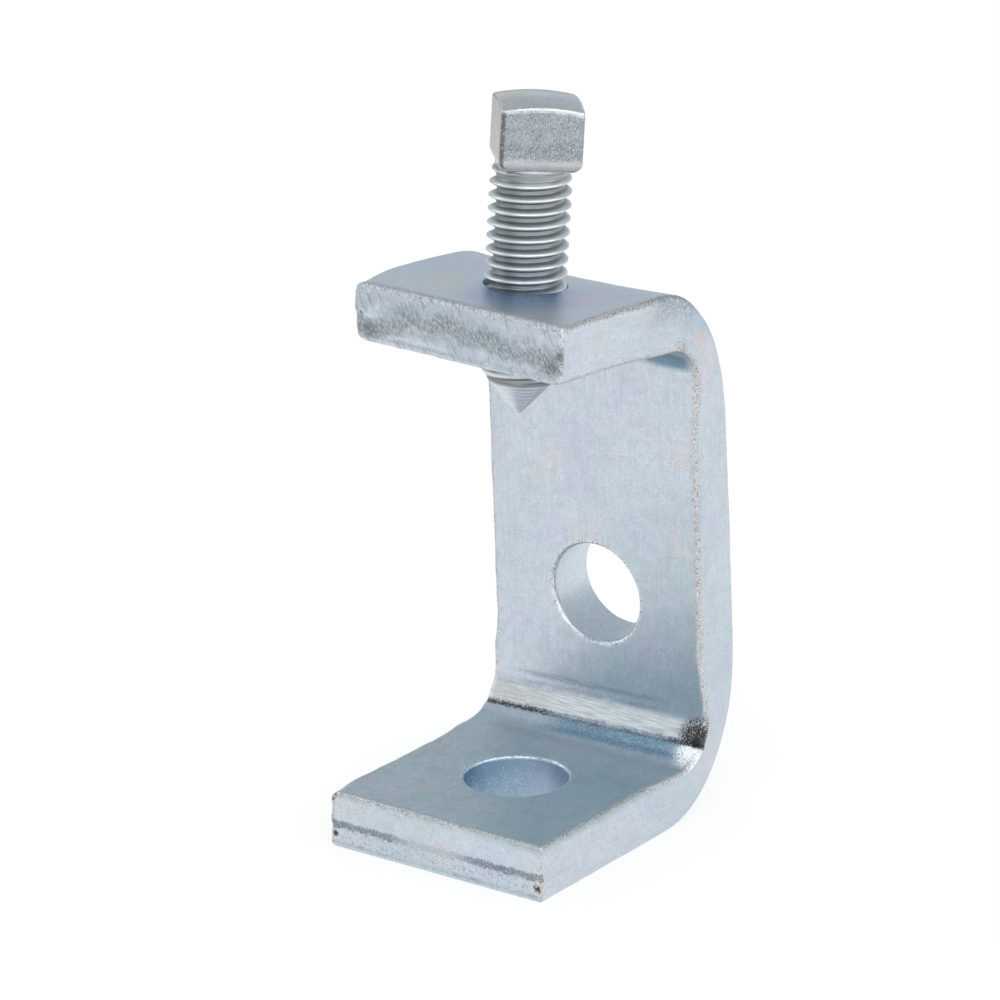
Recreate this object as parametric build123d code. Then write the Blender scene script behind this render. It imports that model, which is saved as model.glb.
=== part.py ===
from build123d import *
import os
from math import cos, radians, sin, tan

# A beam clamp: one thick flat bar bent into a C, and a square-head set screw with a cone point
# that is screwed through the upper jaw. Millimetres. The origin is the centre of the hole in the
# lower jaw, on the face that the clamp stands on. +Z is up, +Y is towards the closed back of the
# C, and X runs across its width.

# The bar. Its long edges are rolled round.
BAR_WIDTH = 38.1
BAR_THICKNESS = 8.9
BAR_EDGE_RADIUS = 0.9

# The C, measured along its inner faces from the corners where they would meet.
LOWER_JAW_DEPTH = 42.3
UPPER_JAW_DEPTH = 34.8
INNER_HEIGHT = 66.5
BACK_LEAN = 2.0
UPPER_JAW_RISE = 6.3

# The bends. The bar thins round the outside of a bend, and at the inside it swells sideways. The
# swelling slopes down to the flat side over a short distance from the bend's inner face.
BEND_INNER_RADIUS = 6.4
LOWER_BEND_OUTER_RADIUS = 17.3
UPPER_BEND_OUTER_RADIUS = 21.0
BEND_SWELL = 1.1
SWELL_REACH = 5.0

# The sheared ends. The blade rolls the edges over and leaves a shallow step where it broke through.
END_ROLL_RADIUS = 0.6
BREAK_STEP_DEPTH = 0.3
BREAK_STEP_HEIGHT = 1.2
LOWER_BREAK_HEIGHT = 3.6
UPPER_BREAK_HEIGHT = 3.3

# The plain punched holes, set out from the same inner corners. The punch went in from the inner
# face and rolled that edge over, and the outer edge is sharp.
BASE_HOLE_DIAMETER = 15.7
BASE_HOLE_SETBACK = 21.85
BACK_HOLE_DIAMETER = 15.7
BACK_HOLE_HEIGHT = 22.7
HOLE_EDGE_BREAK = 0.35

# The set screw, measured from the face of the upper jaw that it enters.
SCREW_DIAMETER = 12.3
SCREW_SETBACK = 16.8
SCREW_LENGTH = 37.5
SCREW_STAND_OUT = 17.9
SCREW_CLEARANCE = 0.05
TAPPED_MOUTH_CHAMFER = 0.35
NECK_DIAMETER = 10.9
NECK_LENGTH = 1.3
CONE_BASE_DIAMETER = 9.5
CONE_ANGLE = 90.0
POINT_FLAT_DIAMETER = 0.9
LEAD_IN_LENGTH = 1.3

# The screw's head.
HEAD_ACROSS_FLATS = 12.4
HEAD_HEIGHT = 10.7
HEAD_CROWN_RADIUS = 29.0
HEAD_CORNER_RADIUS = 0.6
HEAD_FOOT_ACROSS_FLATS = 11.5
HEAD_FOOT_CORNER_RADIUS = 1.6
HEAD_FOOT_HEIGHT = 1.2
HEAD_TURN = 42.6


def side_view(forward, up):
    """A direction or place in the C's side view, with forward towards the tips of the jaws."""
    return Vector(0, -forward, up)


# The direction of each arm away from its corner, and the way that its outer face looks.
BASE_DIRECTION = side_view(1, 0)
BASE_NORMAL = side_view(0, -1)
BACK_DIRECTION = side_view(sin(radians(BACK_LEAN)), cos(radians(BACK_LEAN)))
BACK_NORMAL = side_view(-cos(radians(BACK_LEAN)), sin(radians(BACK_LEAN)))
JAW_DIRECTION = side_view(cos(radians(UPPER_JAW_RISE)), sin(radians(UPPER_JAW_RISE)))
JAW_NORMAL = side_view(-sin(radians(UPPER_JAW_RISE)), cos(radians(UPPER_JAW_RISE)))

# The two corners where the inner faces would meet if the bends were sharp.
LOWER_CORNER = side_view(-BASE_HOLE_SETBACK, BAR_THICKNESS)
UPPER_CORNER = LOWER_CORNER + BACK_DIRECTION * INNER_HEIGHT


def outer_corner(corner, normal_a, normal_b):
    """Where the outer faces of two arms would meet if the bend was sharp."""
    return corner + (normal_a + normal_b) * (BAR_THICKNESS / (1 + normal_a.dot(normal_b)))


def bar_profile():
    """The C in its side view, with the inner and the outer radius of both bends."""
    base_tip = LOWER_CORNER + BASE_DIRECTION * LOWER_JAW_DEPTH
    jaw_tip = UPPER_CORNER + JAW_DIRECTION * UPPER_JAW_DEPTH
    lower_outer = outer_corner(LOWER_CORNER, BASE_NORMAL, BACK_NORMAL)
    upper_outer = outer_corner(UPPER_CORNER, BACK_NORMAL, JAW_NORMAL)
    inner_line = [base_tip, LOWER_CORNER, UPPER_CORNER, jaw_tip]
    outer_line = [
        jaw_tip + JAW_NORMAL * BAR_THICKNESS,
        upper_outer,
        lower_outer,
        base_tip + BASE_NORMAL * BAR_THICKNESS,
    ]
    profile = make_face(Polyline(*inner_line, *outer_line, close=True))
    for corner, radius in (
        (LOWER_CORNER, BEND_INNER_RADIUS),
        (UPPER_CORNER, BEND_INNER_RADIUS),
        (lower_outer, LOWER_BEND_OUTER_RADIUS),
        (upper_outer, UPPER_BEND_OUTER_RADIUS),
    ):
        profile = fillet(profile.vertices().sort_by_distance(corner)[0], radius)
    return profile


def bend_axis(corner, direction_a, direction_b):
    """A point on the axis of a bend's inner radius."""
    spread = (direction_a + direction_b) * (1 / direction_a.cross(direction_b).length)
    return corner + spread * BEND_INNER_RADIUS


def side_trimmer(axis_point):
    """A ring round a bend's axis that cuts the bar's +X side flat, but swollen near the bend."""
    flat = BAR_WIDTH / 2
    outside = flat + BAR_THICKNESS
    rim = INNER_HEIGHT
    reach = BEND_INNER_RADIUS + SWELL_REACH
    core = BEND_INNER_RADIUS - BEND_SWELL
    core_height = flat + BEND_SWELL * (reach - core) / SWELL_REACH
    # The profile's first number is the distance from the axis, and its second is along X.
    profile = Polyline(
        (core, core_height), (core, outside), (rim, outside), (rim, flat), (reach, flat), close=True
    )
    ring = revolve(make_face(profile), Axis.Y)
    return Pos(*axis_point) * Rot(0, 0, -90) * ring


def trimmed_sides(bar):
    """The bar cut to its width on both sides."""
    half_way = Plane(origin=(LOWER_CORNER + UPPER_CORNER) / 2, z_dir=(0, 0, 1))
    lower_axis = bend_axis(LOWER_CORNER, BASE_DIRECTION, BACK_DIRECTION)
    upper_axis = bend_axis(UPPER_CORNER, -BACK_DIRECTION, JAW_DIRECTION)
    for axis_point, half in ((lower_axis, Keep.BOTTOM), (upper_axis, Keep.TOP)):
        trimmer = split(side_trimmer(axis_point), bisect_by=half_way, keep=half)
        bar -= trimmer
        bar -= mirror(trimmer, Plane.YZ)
    return bar


def looks_along(face, direction):
    return face.normal_at().get_angle(direction) < 0.1


def long_edges(bar):
    """The edges that run along the bar, on both sides of its inner and outer faces."""
    edges = ShapeList()
    for face in bar.faces():
        is_side = abs(face.normal_at().X) > 0.01
        is_end = looks_along(face, BASE_DIRECTION) or looks_along(face, JAW_DIRECTION)
        if not is_side and not is_end:
            edges += face.edges().filter_by(lambda edge: abs(edge.tangent_at(0.5).X) < 0.5)
    return edges


def bent_bar():
    bar = trimmed_sides(extrude(bar_profile(), amount=BAR_WIDTH / 2 + 2 * BEND_SWELL, both=True))
    bar = fillet(long_edges(bar), BAR_EDGE_RADIUS)
    return round_end(round_end(bar, BASE_DIRECTION), JAW_DIRECTION)


def round_end(bar, direction):
    """Roll over the outline of the end face that looks along direction."""
    facing = bar.faces().filter_by(lambda face: looks_along(face, direction))
    end_face = facing.sort_by(Axis(LOWER_CORNER, direction))[-1]
    return fillet(end_face.edges(), END_ROLL_RADIUS)


def break_step(tip, direction, up, break_height):
    """The sliver that broke away from the lower part of a sheared end, across the whole width."""
    clear = direction * BAR_THICKNESS
    step = direction * BREAK_STEP_DEPTH
    low = up * (break_height - BREAK_STEP_HEIGHT / 2)
    high = up * (break_height + BREAK_STEP_HEIGHT / 2)
    corners = [tip + clear - up, tip - step - up, tip - step + low, tip + high, tip + clear + high]
    sliver = make_face(Polyline(*corners, close=True))
    return extrude(sliver, amount=BAR_WIDTH, both=True)


def hole_cutter(radius, inner_break, outer_break):
    """A round hole through the bar along +Z, from its inner face at z = 0, with 45 degree mouths."""
    beyond = BAR_THICKNESS / 2
    profile = Polyline(
        (0, -beyond),
        (radius + inner_break + beyond, -beyond),
        (radius, inner_break),
        (radius, BAR_THICKNESS - outer_break),
        (radius + outer_break + beyond, BAR_THICKNESS + beyond),
        (0, BAR_THICKNESS + beyond),
        close=True,
    )
    return revolve(Plane.XZ * make_face(profile), Axis.Z)


def hole_place(corner, direction, normal, distance):
    """Where a hole square to an arm enters its inner face, with +Z out through the outer face."""
    return Plane(origin=corner + direction * distance, x_dir=(1, 0, 0), z_dir=normal)


BASE_HOLE_PLACE = hole_place(LOWER_CORNER, BASE_DIRECTION, BASE_NORMAL, BASE_HOLE_SETBACK)
BACK_HOLE_PLACE = hole_place(LOWER_CORNER, BACK_DIRECTION, BACK_NORMAL, BACK_HOLE_HEIGHT)
SCREW_HOLE_PLACE = hole_place(UPPER_CORNER, JAW_DIRECTION, JAW_NORMAL, SCREW_SETBACK)


def clamp_body():
    base_tip = LOWER_CORNER + BASE_DIRECTION * LOWER_JAW_DEPTH + BASE_NORMAL * BAR_THICKNESS
    jaw_tip = UPPER_CORNER + JAW_DIRECTION * UPPER_JAW_DEPTH
    punched_base = hole_cutter(BASE_HOLE_DIAMETER / 2, HOLE_EDGE_BREAK, 0)
    punched_back = hole_cutter(BACK_HOLE_DIAMETER / 2, HOLE_EDGE_BREAK, 0)
    screw_bore = hole_cutter(
        SCREW_DIAMETER / 2 + SCREW_CLEARANCE, TAPPED_MOUTH_CHAMFER, TAPPED_MOUTH_CHAMFER
    )
    body = bent_bar()
    body -= break_step(base_tip, BASE_DIRECTION, -BASE_NORMAL, LOWER_BREAK_HEIGHT)
    body -= break_step(jaw_tip, JAW_DIRECTION, JAW_NORMAL, UPPER_BREAK_HEIGHT)
    body -= BASE_HOLE_PLACE * punched_base
    body -= BACK_HOLE_PLACE * punched_back
    body -= SCREW_HOLE_PLACE * screw_bore
    return body


def screw_shank():
    """Neck, shank and cone point, turned about +Z with the underside of the head at z = 0."""
    radius = SCREW_DIAMETER / 2
    neck_radius = NECK_DIAMETER / 2
    cone_radius = CONE_BASE_DIAMETER / 2
    flat_radius = POINT_FLAT_DIAMETER / 2
    cone_height = (cone_radius - flat_radius) / tan(radians(CONE_ANGLE / 2))
    cone_top = cone_height - SCREW_LENGTH
    profile = Polyline(
        (0, HEAD_FOOT_HEIGHT / 2),
        (neck_radius, HEAD_FOOT_HEIGHT / 2),
        (neck_radius, -NECK_LENGTH),
        (radius, -NECK_LENGTH - (radius - neck_radius)),
        (radius, cone_top + LEAD_IN_LENGTH),
        (cone_radius, cone_top),
        (flat_radius, -SCREW_LENGTH),
        (0, -SCREW_LENGTH),
        close=True,
    )
    return revolve(Plane.XZ * make_face(profile), Axis.Z)


def screw_head():
    """A square head with a tapered foot and a crowned top, standing on z = 0."""
    foot_outline = RectangleRounded(
        HEAD_FOOT_ACROSS_FLATS, HEAD_FOOT_ACROSS_FLATS, HEAD_FOOT_CORNER_RADIUS
    )
    outline = RectangleRounded(HEAD_ACROSS_FLATS, HEAD_ACROSS_FLATS, HEAD_CORNER_RADIUS)
    foot = loft([foot_outline, Pos(0, 0, HEAD_FOOT_HEIGHT) * outline], ruled=True)
    block = extrude(Pos(0, 0, HEAD_FOOT_HEIGHT) * outline, amount=HEAD_HEIGHT - HEAD_FOOT_HEIGHT)
    crown = Pos(0, 0, HEAD_HEIGHT - HEAD_CROWN_RADIUS) * Rot(90, 0, 0) * Sphere(HEAD_CROWN_RADIUS)
    return (foot + block) & crown


def set_screw():
    screw = Rot(0, 0, HEAD_TURN) * screw_head() + screw_shank()
    return SCREW_HOLE_PLACE * Pos(0, 0, BAR_THICKNESS + SCREW_STAND_OUT) * screw


PIECES = {"clamp_body": clamp_body, "set_screw": set_screw}

os.makedirs("parts", exist_ok=True)
for name, make in PIECES.items():
    export_step(make(), f"parts/{name}.step")
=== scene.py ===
import math
from functools import reduce

import bmesh
import bpy
import numpy as np
from mathutils import Matrix, Vector, noise
from mathutils.kdtree import KDTree


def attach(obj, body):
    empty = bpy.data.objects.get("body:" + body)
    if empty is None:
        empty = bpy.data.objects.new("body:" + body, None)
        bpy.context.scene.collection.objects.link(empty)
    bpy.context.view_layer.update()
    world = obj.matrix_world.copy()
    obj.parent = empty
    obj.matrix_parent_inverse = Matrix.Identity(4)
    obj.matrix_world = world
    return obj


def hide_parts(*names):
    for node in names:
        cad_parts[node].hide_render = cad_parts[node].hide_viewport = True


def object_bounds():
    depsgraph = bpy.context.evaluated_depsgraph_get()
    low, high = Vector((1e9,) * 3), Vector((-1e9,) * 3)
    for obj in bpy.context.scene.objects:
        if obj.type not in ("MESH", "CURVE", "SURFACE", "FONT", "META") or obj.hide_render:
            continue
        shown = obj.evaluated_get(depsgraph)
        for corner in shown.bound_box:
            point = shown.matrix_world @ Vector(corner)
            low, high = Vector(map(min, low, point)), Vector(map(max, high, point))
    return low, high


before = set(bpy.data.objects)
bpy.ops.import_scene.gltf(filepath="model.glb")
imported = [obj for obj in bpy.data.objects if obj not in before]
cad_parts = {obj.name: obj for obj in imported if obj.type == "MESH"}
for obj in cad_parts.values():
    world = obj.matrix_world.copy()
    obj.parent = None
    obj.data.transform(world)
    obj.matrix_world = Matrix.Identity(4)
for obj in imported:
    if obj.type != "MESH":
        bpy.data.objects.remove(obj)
bounds_at_load = [list(corner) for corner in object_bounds()]

# The clamp's own sizes in millimetres, as in the part's source.
MM = 0.001
BAR_WIDTH = 38.1
BAR_THICKNESS = 8.9
LOWER_JAW_DEPTH = 42.3
UPPER_JAW_DEPTH = 34.8
INNER_HEIGHT = 66.5
BACK_LEAN = math.radians(2.0)
UPPER_JAW_RISE = math.radians(6.3)
BEND_INNER_RADIUS = 6.4
LOWER_BEND_OUTER_RADIUS = 17.3
UPPER_BEND_OUTER_RADIUS = 21.0
BASE_HOLE_RADIUS = 7.85
BASE_HOLE_SETBACK = 21.85
BACK_HOLE_RADIUS = 7.85
BACK_HOLE_HEIGHT = 22.7
SCREW_SETBACK = 16.8
SCREW_RADIUS = 6.15
SCREW_CLEARANCE = 0.05
SCREW_LENGTH = 37.5
SCREW_STAND_OUT = 17.9
NECK_RADIUS = 5.45
CONE_BASE_RADIUS = 4.7
CONE_TOP = -32.75
POINT_RADIUS = 0.45
LEAD_IN_LENGTH = 2.2
HEAD_ACROSS_FLATS = 12.4
HEAD_HEIGHT = 10.7
HEAD_CROWN_RADIUS = 29.0
HEAD_FOOT_ACROSS_FLATS = 11.5
HEAD_FOOT_HEIGHT = 1.2
HEAD_TURN = math.radians(42.6)

# The bar's surface relief.
EDGE_ROLL = 0.9
EDGE_SHARP = 0.2
LEFT_CORNER_ROLL = 0.8
END_ROLL = 0.6
END_SHARP = 0.2
BEND_SWELL = 0.86
BEND_SWELL_REACH = 5.0
CROWN_DIP = 0.4
BASE_FLARE = 0.6
JAW_BULGE = 0.75
TIP_TAPER = 1.2
TIP_TAPER_REACH = 12.0
BASE_BREAK = 5.3
JAW_BREAK = 3.3
BREAK_STEP = 0.25
CREASE_PLACE = 5.15
CREASE_SLOPE = 0.034
CREASE_BELOW = 0.3
CREASE_ABOVE = 0.52
CREASE_DEPTH = 0.12
BOX_MARGIN = 0.02
BASE_SCAR = {"torn": BASE_BREAK, "torn_reach": 0.9, "side": 1, "seed": 11.0}
JAW_SCAR = {"torn": JAW_BREAK + 0.9, "torn_reach": 2.1, "side": -1, "seed": 23.0}

# The screw's thread, with heights from the underside of its head, and how its head sits.
THREAD_PITCH = 2.04
THREAD_ROOT_RADIUS = 5.0
# Where a flank starts and ends, in half pitches from the crest.
FLANK_TOP = 0.09
FLANK_FOOT = 0.74
THREAD_TOP = -0.3
THREAD_CREST = -32.42
RUN_OUT_LENGTH = 2.4
NECK_RISE = 0.6
HEAD_OFFSET = (0.40, 0.30)
HEAD_ROLL = 0.6

# How fine the meshes are: grid steps in millimetres, and steps round and along the screw.
ALONG_STEP = 0.62
CREASE_STEP = 0.31
ACROSS_STEP = 0.4
DEPTH_STEP = 0.32
HEAD_STEP = 0.3
HOLE_SEGMENTS = 120
HOLE_RINGS = 16
SCREW_SEGMENTS = 96
PITCH_STEPS = 18
CONE_RINGS = 60


def unit(vector):
    return vector / np.linalg.norm(vector)


def smooth(value, low, high):
    """0 below low, 1 above high, and smooth between them."""
    share = np.clip((value - low) / (high - low), 0, 1)
    return share * share * (3 - 2 * share)


def bell(value, centre, reach):
    return np.exp(-(((value - centre) / reach) ** 2))


def chord(arc, start, end):
    """How far the straight line between two places on a round bend stands off it, in radii."""
    half = (end - start) / 2
    return 1 - math.cos(half) / np.cos(np.clip(arc - start, 0, 2 * half) - half)


def bumps(points, size, seed=0.0):
    """Smooth noise between about -1 and 1, with features about size across."""
    shift = Vector((seed, 1.7 * seed, 2.3 * seed))
    scale = np.asarray(points, float) / size
    return np.array([noise.noise(Vector(point) + shift) for point in scale])


# The C in its side view, as (y, z): the way each arm runs and the way its outer face looks.
BASE_RUN = np.array([-1.0, 0.0])
BASE_OUT = np.array([0.0, -1.0])
BACK_RUN = np.array([-math.sin(BACK_LEAN), math.cos(BACK_LEAN)])
BACK_OUT = np.array([math.cos(BACK_LEAN), math.sin(BACK_LEAN)])
JAW_RUN = np.array([-math.cos(UPPER_JAW_RISE), math.sin(UPPER_JAW_RISE)])
JAW_OUT = np.array([math.sin(UPPER_JAW_RISE), math.cos(UPPER_JAW_RISE)])
LOWER_CORNER = np.array([BASE_HOLE_SETBACK, BAR_THICKNESS])
UPPER_CORNER = LOWER_CORNER + INNER_HEIGHT * BACK_RUN
LOWER_TURN = math.pi / 2 + BACK_LEAN
UPPER_TURN = math.acos(float(BACK_RUN @ JAW_RUN))


def outer_corner(corner, out_a, out_b):
    return corner + (out_a + out_b) * BAR_THICKNESS / (1 + out_a @ out_b)


def bend_centre(corner, run_a, run_b, turn):
    """The centre of a bend's inner radius, from the runs that leave its corner."""
    return corner + unit(run_a + run_b) * BEND_INNER_RADIUS / math.cos(turn / 2)


def rounded_path(corners, radii, steps=200):
    """Points along straight runs joined by tangent arcs, and how far along the path each is."""
    points = [corners[0]]
    for before, corner, after, radius in zip(corners, corners[1:], corners[2:], radii):
        run_in, run_out = unit(corner - before), unit(after - corner)
        turn = math.acos(float(run_in @ run_out))
        start = corner - run_in * radius * math.tan(turn / 2)
        inward = (run_out - run_in * math.cos(turn)) / math.sin(turn)
        for angle in np.linspace(0, turn, steps):
            arc = run_in * math.sin(angle) + inward * (1 - math.cos(angle))
            points.append(start + radius * arc)
    points.append(corners[-1])
    points = np.array(points)
    along = np.concatenate([[0], np.cumsum(np.linalg.norm(np.diff(points, axis=0), axis=1))])
    return points, along


BASE_TIP = LOWER_CORNER + LOWER_JAW_DEPTH * BASE_RUN
JAW_TIP = UPPER_CORNER + UPPER_JAW_DEPTH * JAW_RUN
INNER_PATH, INNER_ALONG = rounded_path(
    [BASE_TIP, LOWER_CORNER, UPPER_CORNER, JAW_TIP], [BEND_INNER_RADIUS, BEND_INNER_RADIUS]
)
OUTER_PATH, OUTER_ALONG = rounded_path(
    [
        BASE_TIP + BAR_THICKNESS * BASE_OUT,
        outer_corner(LOWER_CORNER, BASE_OUT, BACK_OUT),
        outer_corner(UPPER_CORNER, BACK_OUT, JAW_OUT),
        JAW_TIP + BAR_THICKNESS * JAW_OUT,
    ],
    [LOWER_BEND_OUTER_RADIUS, UPPER_BEND_OUTER_RADIUS],
)


def bend_lengths(turn, outer_radius):
    """How far a bend reaches from its inner corner, and its length inside and outside."""
    reach = (outer_radius - BAR_THICKNESS) * math.tan(turn / 2)
    straight = reach - BEND_INNER_RADIUS * math.tan(turn / 2)
    return reach, 2 * straight + BEND_INNER_RADIUS * turn, outer_radius * turn


LOWER_REACH, LOWER_INSIDE, LOWER_OUTSIDE = bend_lengths(LOWER_TURN, LOWER_BEND_OUTER_RADIUS)
UPPER_REACH, UPPER_INSIDE, UPPER_OUTSIDE = bend_lengths(UPPER_TURN, UPPER_BEND_OUTER_RADIUS)
BASE_STRAIGHT = LOWER_JAW_DEPTH - LOWER_REACH
BACK_STRAIGHT = INNER_HEIGHT - LOWER_REACH - UPPER_REACH
JAW_STRAIGHT = UPPER_JAW_DEPTH - UPPER_REACH


def breaks(lower, upper):
    """Where straight runs and bends meet, measured along one side of the bar."""
    return np.cumsum([0, BASE_STRAIGHT, lower, BACK_STRAIGHT, upper, JAW_STRAIGHT])


INNER_BREAKS = breaks(LOWER_INSIDE, UPPER_INSIDE)
OUTER_BREAKS = breaks(LOWER_OUTSIDE, UPPER_OUTSIDE)
MID_BREAKS = (INNER_BREAKS + OUTER_BREAKS) / 2
BAR_LENGTH = MID_BREAKS[-1]
LOWER_BEND = (MID_BREAKS[1] + MID_BREAKS[2]) / 2
UPPER_BEND = (MID_BREAKS[3] + MID_BREAKS[4]) / 2
ARC_START = LOWER_JAW_DEPTH - BEND_INNER_RADIUS * math.tan(LOWER_TURN / 2)
CREASE = float(np.interp(ARC_START + CREASE_PLACE, INNER_BREAKS, MID_BREAKS))
BEND_STRETCH = float((MID_BREAKS[2] - MID_BREAKS[1]) / (INNER_BREAKS[2] - INNER_BREAKS[1]))
BASE_HOLE_PLACE = LOWER_JAW_DEPTH - BASE_HOLE_SETBACK
BACK_HOLE_PLACE = float(MID_BREAKS[2]) + BACK_HOLE_HEIGHT - LOWER_REACH
BEND_CENTRES = (
    bend_centre(LOWER_CORNER, BASE_RUN, BACK_RUN, LOWER_TURN),
    bend_centre(UPPER_CORNER, -BACK_RUN, JAW_RUN, UPPER_TURN),
)
# Where along the bar the sides are pinched outside each bend, and by how much.
PINCHES = ((LOWER_BEND + 3.5, 0.95), (UPPER_BEND - 5, 0.5))


def bend_to_c(bar):
    """Carry points of the straight bar, as (along, across, depth), round the C."""
    along, across, depth = bar.T
    sides = []
    for path, path_along, side_breaks in (
        (INNER_PATH, INNER_ALONG, INNER_BREAKS),
        (OUTER_PATH, OUTER_ALONG, OUTER_BREAKS),
    ):
        place = np.interp(along, MID_BREAKS, side_breaks)
        sides.append(np.column_stack([np.interp(place, path_along, line) for line in path.T]))
    inner, outer = sides
    side = inner + (outer - inner) * (depth / BAR_THICKNESS)[:, None]
    return np.column_stack([across, side])


def graded(length, roll, step):
    """Grid lines from 0 to length, closer together where the ends are rolled round."""
    rolled = roll * (1 - np.tan(np.linspace(math.pi / 4, 0, 5)))
    middle = np.linspace(roll, length - roll, round((length - 2 * roll) / step) + 1)
    return np.unique(np.concatenate([rolled, middle, length - rolled]).round(6))


def box_shell(*lines):
    """Points and quads of a closed box that carries the given grid lines on its faces."""
    on_surface = np.zeros([len(line) for line in lines], bool)
    for axis in range(3):
        for end in (0, -1):
            np.moveaxis(on_surface, axis, 0)[end] = True
    ids = np.full(on_surface.shape, -1)
    ids[on_surface] = np.arange(on_surface.sum())
    points = np.stack(np.meshgrid(*lines, indexing="ij"), -1)[on_surface]
    quads = []
    for axis in range(3):
        for end, turned in ((0, axis != 1), (-1, axis == 1)):
            face = np.moveaxis(ids, axis, 0)[end]
            quad = np.stack([face[:-1, :-1], face[1:, :-1], face[1:, 1:], face[:-1, 1:]], -1)
            quad = quad.reshape(-1, 4)
            quads.append(quad[:, ::-1] if turned else quad)
    return points, np.concatenate(quads)


def roll_edges(points, size, radii):
    """Move the points of a box in onto round edges. radii has one radius an axis and point."""
    core = np.clip(points, radii, size - radii)
    offset = (points - core) / radii
    length = np.linalg.norm(offset, axis=1, keepdims=True)
    return core + radii * offset / np.maximum(length, 1e-9)


def new_mesh(name, points, faces):
    mesh = bpy.data.meshes.new(name)
    mesh.from_pydata(points.tolist(), [], faces if isinstance(faces, list) else faces.tolist())
    return mesh


def new_object(name, mesh):
    obj = bpy.data.objects.new(name, mesh)
    bpy.context.scene.collection.objects.link(obj)
    return obj


def combined(first, second, operation):
    """The mesh left by an exact boolean of two objects. Both objects are deleted."""
    tool = first.modifiers.new("tool", "BOOLEAN")
    tool.operation = operation
    tool.solver = "EXACT"
    tool.object = second
    bpy.context.view_layer.update()
    depsgraph = bpy.context.evaluated_depsgraph_get()
    mesh = bpy.data.meshes.new_from_object(first.evaluated_get(depsgraph))
    for obj in (first, second):
        bpy.data.objects.remove(obj)
    return mesh


def place_vectors(mesh, name, values):
    attribute = mesh.attributes.new(name, "FLOAT_VECTOR", "POINT")
    attribute.data.foreach_set("vector", np.asarray(values, np.float32).ravel())


def vertex_places(mesh):
    places = np.zeros(len(mesh.vertices) * 3)
    mesh.vertices.foreach_get("co", places)
    return places.reshape(-1, 3)


def end_relief(bar, from_end, scar):
    """How far a sheared end lies behind its flat: a step, a torn band and fine ragged marks."""
    _, across, depth = bar.T
    seed = scar["seed"]
    flat = np.column_stack([across, depth, np.zeros(len(bar))])
    torn = bell(depth, scar["torn"], scar["torn_reach"])
    step = BREAK_STEP * smooth(scar["side"] * (depth - scar["torn"]), -0.6, 0.6)
    step *= smooth(np.minimum(depth, BAR_THICKNESS - depth), 0.1, 1.2)
    grain = np.abs(bumps(flat * [1.6, 0.7, 1], 0.7, seed)) * 0.22
    drag = np.abs(bumps(flat * [1.0, 0.25, 1], 0.45, seed + 4)) * 0.1
    dents = smooth(bumps(flat, 2.2, seed + 9), 0.25, 0.6) * 0.15
    return (step + torn * grain + drag + dents) * smooth(from_end, 2.0, 0.2)


def bar_grid():
    """The straight bar as a closed grid of points, as (along, across, depth), and its quads."""
    crease_lines = np.arange(CREASE - 4, CREASE + 6, CREASE_STEP)
    along_lines = graded(BAR_LENGTH, END_ROLL, ALONG_STEP)
    away = (along_lines < crease_lines[0]) | (along_lines > crease_lines[-1])
    return box_shell(
        np.unique(np.concatenate([along_lines[away], crease_lines]).round(4)),
        graded(BAR_WIDTH, EDGE_ROLL, ACROSS_STEP),
        graded(BAR_THICKNESS, EDGE_ROLL, DEPTH_STEP),
    )


def edge_radii(points, across):
    """How round the ends and the long edges are: rolled where they were worked, else sharp."""
    along, _, depth = points.T
    inner_side = smooth(depth, BAR_THICKNESS * 0.6, BAR_THICKNESS * 0.4)
    rolled = np.maximum(inner_side, smooth(along, MID_BREAKS[2], MID_BREAKS[3]))
    uneven = 1 + 0.25 * bumps(points, 3.0, 2.0)
    edge = (EDGE_SHARP + (EDGE_ROLL - EDGE_SHARP) * rolled) * np.minimum(uneven, 1.1)
    near_tip = smooth(np.minimum(along, BAR_LENGTH - along), 6, 1)
    edge = edge + LEFT_CORNER_ROLL * near_tip * (across < 0)
    end = END_SHARP + (END_ROLL - END_SHARP) * rolled
    end = end * np.minimum(1 + 0.5 * bumps(points, 1.6, 3.0), 1.2)
    jaw_foot = inner_side * smooth(along, BAR_LENGTH - 4, BAR_LENGTH - 1)
    jaw_foot = jaw_foot * (0.4 + 0.6 * smooth(across, 8, -14))
    edge, end = edge + 0.9 * jaw_foot, end + 0.5 * jaw_foot
    return np.column_stack([end, edge, edge])


def bending_mark(along, across, depth, side):
    """Depth with the two flats of the bending tool in the lower bend, and the crease between."""
    inner_place = np.interp(along, MID_BREAKS, INNER_BREAKS) - ARC_START
    arc = (inner_place - CREASE_PLACE - CREASE_SLOPE * across) / BEND_INNER_RADIUS
    flat = chord(arc, -CREASE_BELOW, 0) + chord(arc, 0, CREASE_ABOVE)
    groove = CREASE_DEPTH * bell(arc, 0, 0.05) * (1 + bumps(side, 1.2, 7.0))
    return depth - (BEND_INNER_RADIUS * flat - groove) * smooth(depth, 2.5, 0.3)


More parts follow.
